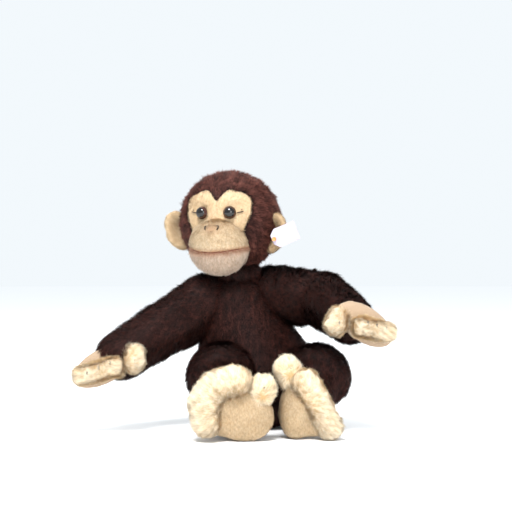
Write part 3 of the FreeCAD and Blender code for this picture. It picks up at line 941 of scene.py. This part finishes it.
def lathe(name, profile, apex, axis, segments=48):
    """Turn a profile of (radius, depth behind the apex), in millimetres, about an axis."""
    side = unit(np.cross(axis, UP)[None])[0]
    other = np.cross(axis, side)
    vertices, faces = [], []
    for radius, depth in profile:
        for step in range(segments):
            angle = 2 * math.pi * step / segments
            spoke = (side * math.cos(angle) + other * math.sin(angle)) * radius * MM
            vertices.append(apex - axis * depth * MM + spoke)
    rings = len(profile)
    for ring in range(rings - 1):
        for step in range(segments):
            nxt = (step + 1) % segments
            faces.append((ring * segments + step, (ring + 1) * segments + step,
                          (ring + 1) * segments + nxt, ring * segments + nxt))
    faces.append(tuple(range(segments)))
    faces.append(tuple(reversed(range((rings - 1) * segments, rings * segments))))
    mesh = mesh_from(name, vertices, faces)
    shell = bmesh.new()
    shell.from_mesh(mesh)
    bmesh.ops.recalc_face_normals(shell, faces=shell.faces)
    shell.to_mesh(mesh)
    shell.free()
    mesh.shade_smooth()
    return new_object(name, mesh)


IRIS_R = 4.6
EYE_BULGE = 0.8
EYE_RIM = [(EYE_R + 0.5, 4.9), (EYE_R + 0.7, 5.4), (EYE_R + 0.5, 6.0), (2.0, 6.1), (2.0, 14.0)]


def make_eye(side):
    """A toy eye: a dome with a dark middle, a thin rim and a stem that runs into the head."""
    apex, look = eye_front(side)
    dome = []
    for degrees in (2, 10, 20, 30, 40, 50, 60, 70, 80, 90):
        angle = math.radians(degrees)
        dome.append((EYE_R * math.sin(angle), EYE_R * EYE_BULGE * (1 - math.cos(angle))))
    eye = lathe("eye_dome_" + side, dome + EYE_RIM, apex, look)
    dress(eye, "head", EYE_PLASTIC, ("eye_" + side,))
    eye.data.materials.append(IRIS_PLASTIC)
    for face in eye.data.polygons:
        behind = (apex - np.array(face.center)) @ look
        out = np.linalg.norm(np.array(face.center) - apex + look * behind)
        face.material_index = int(out > IRIS_R * MM)


def tube(name, points, radius, sides=8):
    """A round thread along some points, with closed, tapered ends."""
    points = np.array(points)
    tangents = unit(np.gradient(points, axis=0))
    first = unit(np.cross(tangents, UP + np.array((0.13, 0.07, 0))))
    second = np.cross(tangents, first)
    vertices, faces = [], []
    count = len(points)
    for index in range(count):
        share = index / (count - 1)
        girth = radius * math.sqrt(max(0.08, 1 - (2 * share - 1) ** 6))
        for step in range(sides):
            angle = 2 * math.pi * step / sides
            spoke = first[index] * math.cos(angle) + second[index] * math.sin(angle)
            vertices.append(points[index] + spoke * girth)
    for index in range(count - 1):
        for step in range(sides):
            nxt = (step + 1) % sides
            faces.append((index * sides + step, index * sides + nxt, (index + 1) * sides + nxt,
                          (index + 1) * sides + step))
    faces.append(tuple(reversed(range(sides))))
    faces.append(tuple(range((count - 1) * sides, count * sides)))
    mesh = mesh_from(name, vertices, faces)
    mesh.shade_smooth()
    return mesh


def joined(name, meshes):
    shell = bmesh.new()
    for mesh in meshes:
        shell.from_mesh(mesh)
    mesh = bpy.data.meshes.new(name)
    shell.to_mesh(mesh)
    shell.free()
    mesh.shade_smooth()
    return new_object(name, mesh)


def onto(skin, point, direction, lift):
    """Where a ray from a point meets a skin, and a little in front of it."""
    hit, place, normal, _ = skin.ray_cast(Vector(point), Vector(direction))
    if not hit:
        return np.array(point)
    return np.array(place) + np.array(normal) * lift


IN_FRONT = -90        # how far forward, in the head's millimetres, a ray towards the face starts


def face_thread(skin, path, radius, lift, strands=1, spread=0.0):
    """Threads on the face, along points given as (x, z) in the head's own millimetres."""
    meshes = []
    dense = np.linspace(0, len(path) - 1, 4 * len(path))
    xs = np.interp(dense, range(len(path)), [p[0] for p in path])
    zs = np.interp(dense, range(len(path)), [p[1] for p in path])
    for strand in range(strands):
        shift = (strand - (strands - 1) / 2) * spread
        line = [onto(skin, head_point(x + shift, IN_FRONT, z), HEAD_Y, lift) for x, z in zip(xs, zs)]
        meshes.append(tube("thread", line, radius))
    return meshes


MOUTH_STEPS = 33
MOUTH_THREAD_R = 0.55 * MM
NOSTRIL_PATH = [(4.6, -6.8), (5.8, -6.3), (6.6, -7.3), (6.2, -9.0), (5.4, -10.4)]
LASH_PATH = [(20.0, 7.2), (23.0, 7.6), (26.0, 8.6)]
SHORT_LASH_PATH = [(23.5, 9.3), (24.8, 10.8)]


def both_sides(path):
    """A path on the toy's right and then on its left."""
    return [[(sign * x, z) for x, z in path] for sign in (-1, 1)]


def make_face_details():
    """The mouth line, the nostril stitches and the lashes, all of thread."""
    muzzle = bpy.data.objects["muzzle_cover"]
    mask = bpy.data.objects["face_mask_cover"]
    mouth = []
    for index in range(MOUTH_STEPS):
        x = -MOUTH_HALF_WIDTH + 2 * MOUTH_HALF_WIDTH * index / (MOUTH_STEPS - 1)
        start = head_point(x, IN_FRONT, MOUTH_Z + smile(x) + 0.5)
        mouth.append(onto(muzzle, start, HEAD_Y, 0.9 * MM) - 0.5 * MM * UP)
    line = joined("mouth_thread", [tube("mouth", mouth, MOUTH_THREAD_R)])
    dress(line, "head", MOUTH_THREAD, ("mouth_stitch",))

    nostrils = []
    for path in both_sides(NOSTRIL_PATH):
        nostrils += face_thread(muzzle, path, 0.2 * MM, 1.5 * MM, 3, 0.45)
    threads = joined("nostril_threads", nostrils)
    dress(threads, "head", DARK_THREAD, ("nostril_stitches",))

    lashes = []
    for long_path, short_path in zip(both_sides(LASH_PATH), both_sides(SHORT_LASH_PATH)):
        lashes += face_thread(mask, long_path, 0.5 * MM, 2.0 * MM)
        lashes += face_thread(mask, short_path, 0.3 * MM, 2.0 * MM)
    threads = joined("lash_threads", lashes)
    dress(threads, "head", DARK_THREAD, ("lash_stitches",))


EAR_AT = {"right": (-51, -9, -9), "left": (49.5, -9, -12)}
EAR_YAW = 25.0
EAR_LEAN = 0.2
EAR_HALF = (14.5, 3.2, 20.0)    # width, thickness and height
EAR_VOXEL = 1.6 * MM


def make_ear(side):
    """A cupped ear with a thick rolled rim, a little folded at its middle."""
    sign = SIDES[side]
    centre = head_point(*EAR_AT[side])
    turn = math.radians(-sign * EAR_YAW)
    across = np.array((math.cos(turn), math.sin(turn), 0)) @ HEAD_TURN
    back = np.array((-math.sin(turn), math.cos(turn), 0)) @ HEAD_TURN
    ball = ball_mesh((0, 0, 0), (1, 1, 1), None, 48)
    x, y, z = vertex_points(ball).T
    reach = np.sqrt(x ** 2 + z ** 2)
    pinch = 1 - 0.1 * np.exp(-(z / 0.25) ** 2) * (x * sign > 0)
    width, thick, height = EAR_HALF[0] * pinch, EAR_HALF[1], EAR_HALF[2]
    dish = np.exp(-((x + 0.1 * sign) / 0.55) ** 2 - (z / 0.6) ** 2)
    rim = np.exp(-((reach - 0.8) / 0.2) ** 2)
    cup = np.where(y < 0.2, 6.5 * dish - 1.2 * rim, 4.0 * dish)
    lean = z * height * EAR_LEAN * sign
    points = (centre + (x * width + lean)[:, None] * MM * across + (z * height)[:, None] * MM * UP
              + (y * thick + cup - 1.5)[:, None] * MM * back)
    set_points(ball, points)
    ear = melt("ear_cover_" + side, [ball], EAR_VOXEL, 2)
    refine(ear)
    dress(ear, "head", BEIGE_CLOTH, ("ear_" + side,))
    outer = outside((HEAD_AT, HEAD_HALF[1] - 2 * MM))
    pile = grow_pile("ear_pile_" + side, ear, 5.0, 2.6 * MM, SHORT_WIDTH, 0.8, toward(across * sign), 61,
                     outer)
    dress(pile, "head", BEIGE_PILE)


TAG_TILT = -22.0
TAG_CLIP = 5 * MM
TAG_BOW = 1.2 * MM
TAG_TWIST = 0.5 * MM
TAG_HALF_THICK = 0.25 * MM


def make_tag():
    """A blank card, slightly bowed and twisted, narrower at the end that the pin holds."""
    cloud = node_points("hang_tag")
    tilt = math.radians(TAG_TILT)
    long_way = HEAD_X * math.cos(tilt) - UP * math.sin(tilt)
    short_way = HEAD_X * math.sin(tilt) + UP * math.cos(tilt)
    through = HEAD_Y
    ways = (long_way, short_way, through)
    spans = [cloud @ way for way in ways]
    middle = sum(way * (span.max() + span.min()) / 2 for way, span in zip(ways, spans))
    half_long, half_short = [(span.max() - span.min()) / 2 for span in spans[:2]]
    columns, rows = 24, 14
    vertices, faces = [], []
    for layer in (-1, 1):
        for row in range(rows + 1):
            for column in range(columns + 1):
                u = -1 + 2 * column / columns
                v = -1 + 2 * row / rows
                squeeze = min(1.0, (half_short - TAG_CLIP + (u + 1) * half_long) / half_short)
                bow = TAG_BOW * (1 - u * u) + TAG_TWIST * u * v
                vertices.append(middle + long_way * u * half_long + short_way * v * half_short * squeeze
                                + through * (bow + layer * TAG_HALF_THICK))
    width = columns + 1
    layer_size = width * (rows + 1)
    for layer in (0, 1):
        for row in range(rows):
            for column in range(columns):
                a = layer * layer_size + row * width + column
                quad = (a, a + 1, a + width + 1, a + width)
                faces.append(quad if layer else tuple(reversed(quad)))
    border = (list(range(width))
              + [row * width + columns for row in range(1, rows + 1)]
              + [rows * width + column for column in range(columns - 1, -1, -1)]
              + [row * width for row in range(rows - 1, 0, -1)])
    for a, b in zip(border, border[1:] + border[:1]):
        faces.append((a, b, b + layer_size, a + layer_size))
    mesh = mesh_from("tag_card", vertices, faces)
    card = new_object("tag_card", mesh)
    dress(card, "head", TAG_CARD, ("hang_tag",))


# ---- hands and feet -----------------------------------------------------

FLUFFY_TUFT = (5 * MM, 0.3)
FLUFFY_WIDTH = 0.4 * MM
FLUFFY_LIFT = 0.8
TIP_VOXEL = 2 * MM
DISH_RADII = np.array((33.0, 17.0, 9.0)) * MM
BEIGE_PLUSH = (BEIGE_CLOTH, BEIGE_PILE, "beige_plush")
CREAM_PLUSH = (CREAM_CLOTH, CREAM_PILE, "cream_plush")
TOE_COUNT = 4
FLUFFY_LENGTH = 5.5 * MM
THUMB_LENGTH = 5.0 * MM
SOLE_LENGTH = 2.6 * MM
FINGER_DENSITY = 4.2
TOE_DENSITY = 4.4
SOLE_DENSITY = 4.0


def furry(node, meshes, body, plush, seed, length, density, comb,
          voxel=TIP_VOXEL, tuft=FLUFFY_TUFT, keep=None):
    """A small stuffed form in place of a node, and its pile."""
    cloth, fur, slot = plush
    form = melt(node + "_soft_cover", meshes, voxel, 2)
    refine(form)
    keep_off_floor(form)
    dress(form, body, cloth, (node,))
    pile = grow_pile(node + "_soft_pile", form, density, length, FLUFFY_WIDTH, FLUFFY_LIFT, comb, seed, keep,
                     tuft=tuft)
    dress(pile, body, fur)


def flattened(mesh, way, share):
    """Squeeze a mesh along one direction about its middle."""
    copy = mesh.copy()
    points = vertex_points(copy)
    along = points @ way
    middle = (along.max() + along.min()) / 2
    set_points(copy, points - ((along - middle) * (1 - share))[:, None] * way)
    return copy


def enlarged(mesh, share, shift=(0, 0, 0)):
    """A mesh made larger about its middle and moved by some millimetres."""
    points = vertex_points(mesh)
    middle = (points.max(0) + points.min(0)) / 2
    set_points(mesh, middle + (points - middle) * share + np.array(shift) * MM)
    return mesh


def away_from(centre):
    return lambda points: points - np.array(centre)


def dish_mesh(side):
    """The palm's oval dish, along the palm's own axes, reaching under the fingers."""
    cloud = vertex_points(hull_mesh(node_points("palm_" + side)))
    fingers = vertex_points(hull_mesh(node_points("fingers_" + side)))
    along = fingers.mean(0) - at("thumb_" + side, 0.5, 0.5, 0.5)
    axes = np.linalg.svd(cloud - cloud.mean(0), full_matrices=False)[2]
    long_way = axes[0] * np.sign(axes[0] @ along)
    through = axes[2] * np.sign(axes[2][1])
    wide = np.cross(long_way, through)
    middle = (cloud.max(0) + cloud.min(0)) / 2 + long_way * 1.5 * MM - through * 1.0 * MM + UP * 1.0 * MM
    return ball_mesh(middle, DISH_RADII, (long_way, wide, through))


def make_hand(side):
    """A smooth palm, a pad of fingers and a thumb."""
    body = "forearm_" + side
    palm, fingers, thumb = [part + side for part in ("palm_", "fingers_", "thumb_")]
    skin = melt("palm_cover_" + side, [dish_mesh(side)], FINE_VOXEL, 2)
    refine(skin)
    dress(skin, body, SUEDE, (palm,))
    away = away_from(at(palm, 0.5, 0.5, 0.5))
    seed = 71 if side == "right" else 76
    pad = enlarged(flattened(hull_mesh(node_points(fingers)), UP, 0.66), 1.0, (0, 0, -1.5))
    furry(fingers, [pad], body, CREAM_PLUSH, seed, FLUFFY_LENGTH, FINGER_DENSITY, away)
    furry(thumb, [hull_mesh(node_points(thumb))], body, CREAM_PLUSH, seed + 1, THUMB_LENGTH,
          FINGER_DENSITY, away)


def toe_lobes(cloud, centre, count):
    """The row of toes cut into lobes round the middle of the sole, each a little fuller than its share."""
    spokes = cloud - centre
    angle = np.arctan2(spokes[:, 2], spokes[:, 0])
    angle = np.where(angle < -math.pi / 2, angle + 2 * math.pi, angle)
    edges = np.linspace(angle.min(), angle.max() + 1e-6, count + 1)
    lobes = []
    for low, high in zip(edges, edges[1:]):
        part = cloud[(angle >= low) & (angle < high)]
        lobes.append(enlarged(hull_mesh(part), 1.1, (0, -1.0, 0)))
    return lobes


def make_foot(side):
    """A short-piled sole, a row of fluffy toes and a big toe."""
    body = "shin_" + side
    sole, toes, big_toe = [part + side for part in ("sole_", "toes_", "big_toe_")]
    seed = 81 if side == "right" else 86
    bed = enlarged(hull_mesh(node_points(sole, toes)), 0.96, (0, 5.0, 0))
    furry(sole, [hull_mesh(node_points(sole)), bed], body, BEIGE_PLUSH, seed, SOLE_LENGTH, SOLE_DENSITY,
          toward((0, -0.2, -1)), FINE_VOXEL, SHORT_TUFT, lambda points, normals: normals[:, 1] < 0.5)
    middle = at(sole, 0.5, 0.5, 0.5)
    furry(toes, toe_lobes(node_points(toes), middle, TOE_COUNT), body, CREAM_PLUSH, seed + 1, FLUFFY_LENGTH,
          TOE_DENSITY, away_from(middle))
    furry(big_toe, [hull_mesh(node_points(big_toe))], body, CREAM_PLUSH, seed + 2, FLUFFY_LENGTH, TOE_DENSITY,
          away_from(at(big_toe, 0.5, 0.3, 0.5)))


def paint_node(node, material):
    """A CAD node that stays as it is gets a material of its own."""
    for holder in frame["nodes"][node].material_slots:
        holder.link = "OBJECT"
        holder.material = material


make_torso()
make_head()
for limb_side in SIDES:
    make_eye(limb_side)
    make_ear(limb_side)
    make_arm(limb_side)
    make_hand(limb_side)
    make_leg(limb_side)
    make_foot(limb_side)
make_face_details()
make_tag()
paint_node("tag_pin", PIN_PLASTIC)
paint_node("pellet_bag", PELLET_CLOTH)
for limb_side in SIDES:
    paint_node("eye_washer_" + limb_side, WASHER_PLASTIC)
    paint_node("finger_stitches_" + limb_side, STITCH_THREAD)
    paint_node("toe_stitch_" + limb_side, STITCH_THREAD)
